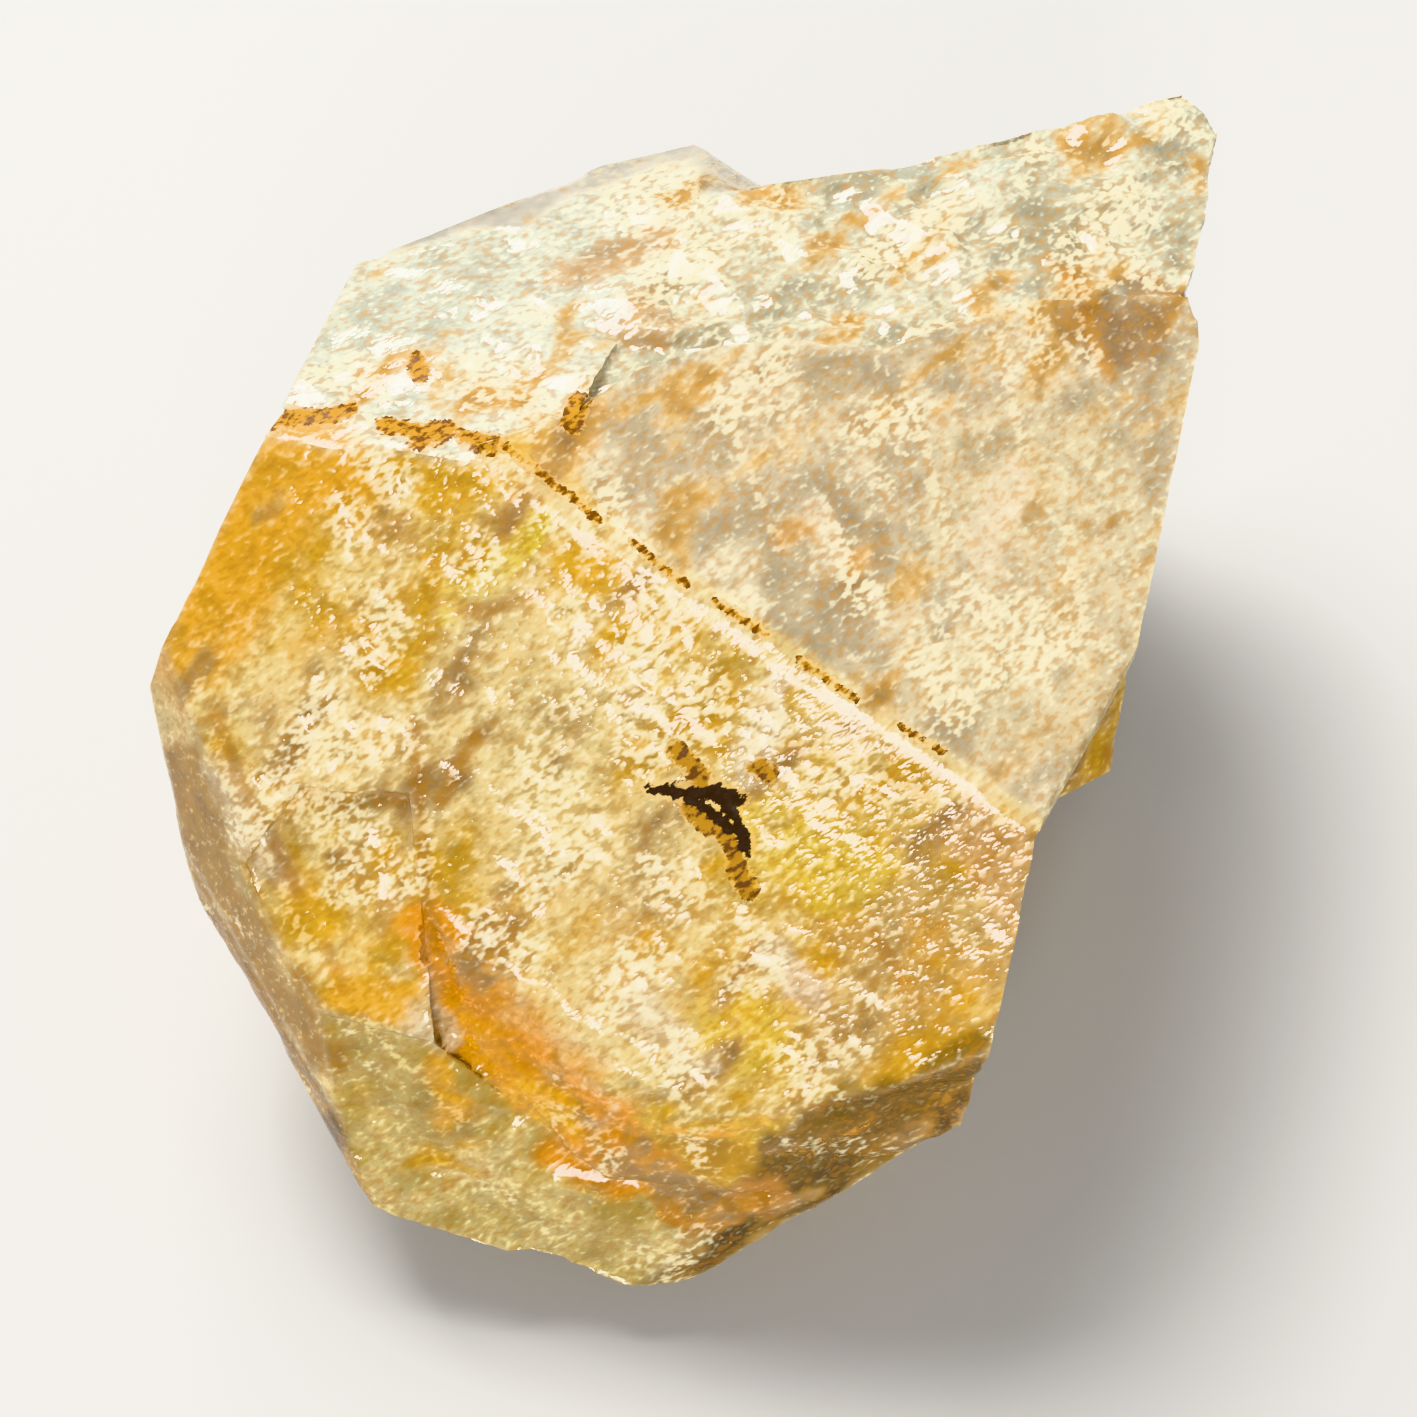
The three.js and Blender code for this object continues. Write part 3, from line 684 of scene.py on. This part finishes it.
def ramp(value, low, high, to_low=0.0, to_high=1.0):
    """From to_low at low to to_high at high, by a smooth curve."""
    return node("MapRange", value, low, high, to_low, to_high, interpolation_type="SMOOTHSTEP").outputs[0]


def calculate(operation, a, b=None):
    """One sum, product or other step of reckoning on two values."""
    return node("Math", a, b, operation=operation).outputs[0]


def blend(share, a, b):
    """Colour a turned into colour b by that share."""
    made = node("Mix", data_type="RGBA")
    for socket, value in ((made.inputs[0], share), (made.inputs[6], a), (made.inputs[7], b)):
        if isinstance(value, bpy.types.NodeSocket):
            material.node_tree.links.new(value, socket)
        else:
            socket.default_value = value
    return made.outputs[2]


GRAIN_SIZE = (0.0008, 0.0004, 0.00045)  # in metres, along the grain, across it and into the crystal
GRAIN_TURN = radians(38)  # the grain runs up to the right by this much


def grain(detail=1.0):
    """Fine grain from noise, turned into the crystal's own frame and drawn out along its run."""
    place = node("Mapping", node("TexCoord").outputs["Object"], vector_type="TEXTURE")
    turn = Matrix.Rotation(LEAN, 3, "X") @ Matrix.Rotation(GRAIN_TURN, 3, "Z")
    place.inputs["Rotation"].default_value = turn.to_euler()
    place.inputs["Scale"].default_value = GRAIN_SIZE
    made = node("TexNoise", place.outputs[0])
    for name, value in (("Scale", 1.0), ("Detail", detail), ("Roughness", 0.6)):
        made.inputs[name].default_value = value
    return made.outputs["Fac"]


def bumpy(height, strength, depth):
    """The surface's normal, tipped as if it rose and fell with that height, by up to depth in metres."""
    made = node("Bump", strength, depth)
    material.node_tree.links.new(height, made.inputs["Height"])
    return made.outputs[0]


def finish_of(name):
    """A new material on the crystal, and its main shader."""
    made = bpy.data.materials.new(name)
    made.use_nodes = True
    mesh.materials.append(made)
    return made, made.node_tree.nodes["Principled BSDF"]


def feed(shader, **inputs):
    """Links sockets to the shader's inputs of those names."""
    for name, socket in inputs.items():
        material.node_tree.links.new(socket, shader.inputs[name.replace("_", " ")])


# Clear quartz, golden by what it holds back: light goes through it and fades on its way. Tiny fractures in it
# are painted pale, palest where they are thickest, partly their own milky colour and partly painted glints;
# the grain's hollows between them are painted darker brown as painted shade.
QUARTZ_IOR = 1.544
GOLD, GOLD_DENSITY = (0.98, 0.84, 0.48, 1), 42.0  # what the quartz lets by, and how fast the rest is lost
SEEN_THROUGH, CLEAR_SEEN_THROUGH = 0.37, 0.62  # how much light goes in, and in the clear rear crystal
# The flake tint is partly the fractures' milky colour and partly painted glints; the pit tint is painted
# shade.
FLAKE_AND_GLINT_TINT, PIT_SHADE_TINT = (0.92, 0.83, 0.54, 1), (0.46, 0.22, 0.02, 1)
POLISHED, FLAKY = 0.06, 0.3  # how rough a clean face is, and one full of fractures

material, shader = finish_of("golden_quartz")
shader.distribution = "GGX"
shader.inputs["IOR"].default_value = QUARTZ_IOR
absorb = node("VolumeAbsorption", GOLD, GOLD_DENSITY)
material.node_tree.links.new(absorb.outputs[0], material.node_tree.nodes["Material Output"].inputs["Volume"])
clearness = attribute("clearness")
speckle = grain()
thick = calculate("ADD", speckle, calculate("MULTIPLY", attribute("cloudy_and_glinting"), 0.18))
# Paler where the grain rises and the fractures lie thick: milky fractures and painted glints.
flake_and_glint = ramp(thick, 0.54, 0.8, 0.0, 0.85)
tint = attribute("tint", "Color")
pale = blend(calculate("ADD", calculate("MULTIPLY", attribute("glitter"), 0.6), 0.2), tint, FLAKE_AND_GLINT_TINT)
# Darker brown where the grain sinks: painted shade in its hollows.
pit_shade = calculate("MULTIPLY", ramp(speckle, 0.50, 0.34, 0.0, 0.45), calculate("SUBTRACT", 1.0, clearness))
feed(shader, Base_Color=blend(flake_and_glint, blend(pit_shade, tint, PIT_SHADE_TINT), pale),
     Transmission_Weight=calculate("MAXIMUM", ramp(flake_and_glint, 0.0, 1.0, SEEN_THROUGH, 0.0),
                                   calculate("MULTIPLY", clearness, CLEAR_SEEN_THROUGH)),
     Roughness=ramp(flake_and_glint, 0.0, 1.0, POLISHED, FLAKY), Normal=bumpy(speckle, 0.35, 0.00012))

# Iron: rust along the cracks, and one nearly black flake of ore, each ragged at its edge.
IRON_LEAST = 0.15  # how much rust or ore a triangle holds before it is of this material
RUST_LIGHT, RUST_DARK = (0.34, 0.17, 0.015, 1), (0.10, 0.035, 0.002, 1)
ORE_TINT, STAINED_TINT = (0.022, 0.008, 0.001, 1), (0.40, 0.20, 0.02, 1)

material, shader = finish_of("iron_stain")
shader.inputs["Specular IOR Level"].default_value = 0.15
speckle = grain(3.0)
ragged = calculate("MULTIPLY", speckle, 1.6)
rusty = ramp(calculate("ADD", ragged, attribute("rust")), 0.95, 1.2)
ore = ramp(calculate("ADD", ragged, attribute("iron")), 1.2, 1.35)
tint = blend(rusty, blend(0.4, attribute("tint", "Color"), STAINED_TINT),
             blend(ramp(speckle, 0.45, 0.6), RUST_LIGHT, RUST_DARK))
feed(shader, Base_Color=blend(ore, tint, ORE_TINT), Roughness=ramp(speckle, 0.3, 0.7, 0.7, 0.4),
     Normal=bumpy(speckle, 0.4, 0.0001))
stained = np.maximum(rust, iron)[triangles].mean(axis=1) > IRON_LEAST
mesh.polygons.foreach_set("material_index", stained.astype(np.int32))

crystal = bpy.data.objects.new("quartz", mesh)
bpy.context.scene.collection.objects.link(crystal)
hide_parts("quartz_crystal")
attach(crystal, "root")


# ---- The ground: a plain pale board that the crystal stands on. It is no part of the crystal.

GROUND_HALF = 1.5
BOARD_TINT = (0.40, 0.395, 0.385, 1)
ground_mesh = bpy.data.meshes.new("ground")
ground_mesh.from_pydata([(-GROUND_HALF, -GROUND_HALF, 0), (GROUND_HALF, -GROUND_HALF, 0),
                         (GROUND_HALF, GROUND_HALF, 0), (-GROUND_HALF, GROUND_HALF, 0)], [], [(0, 1, 2, 3)])
ground = bpy.data.objects.new("ground", ground_mesh)
bpy.context.scene.collection.objects.link(ground)
paint = bpy.data.materials.new("ground")
paint.use_nodes = True
board = paint.node_tree.nodes["Principled BSDF"]
board.inputs["Base Color"].default_value = BOARD_TINT
board.inputs["Roughness"].default_value = 0.7
ground_mesh.materials.append(paint)


# ---- The camera and the lights: a long lens that looks along the ridge frame's w, a large soft lamp above
# and behind the crystal, a weaker one in front, and pale light from all round.

DISTANCE = 240  # from the crystal's own origin, in mm
HALF_WIDTH = 42.51  # half of what the camera sees at that distance, in mm
camera_data = bpy.data.cameras.new("camera")
camera_data.lens = camera_data.sensor_width * DISTANCE / (2 * HALF_WIDTH)
camera = bpy.data.objects.new("camera", camera_data)
camera.location = in_world(np.array([[0, 0, DISTANCE]]))[0]
camera.rotation_euler = (LEAN, 0, 0)
bpy.context.scene.collection.objects.link(camera)
bpy.context.scene.camera = camera


def lamp(name, location, size, power, colour):
    """A square lamp, in metres and watts, that shines at the middle of the ground."""
    data = bpy.data.lights.new(name, "AREA")
    data.size, data.energy, data.color = size, power, colour
    made = bpy.data.objects.new(name, data)
    made.location = location
    made.rotation_euler = (-Vector(location)).to_track_quat("-Z", "Y").to_euler()
    bpy.context.scene.collection.objects.link(made)


lamp("key", (-0.14, 0.30, 0.47), 0.3, 8, (1, 0.98, 0.95))
lamp("fill", (-0.06, -0.576, 0.43), 0.24, 4.4, (1, 0.97, 0.93))
world = bpy.data.worlds.new("world")
bpy.context.scene.world = world
world.use_nodes = True
all_round = world.node_tree.nodes["Background"]
all_round.inputs["Color"].default_value = (0.93, 0.96, 1, 1)
all_round.inputs["Strength"].default_value = 0.38

bpy.context.scene.view_settings.view_transform = "Khronos PBR Neutral"
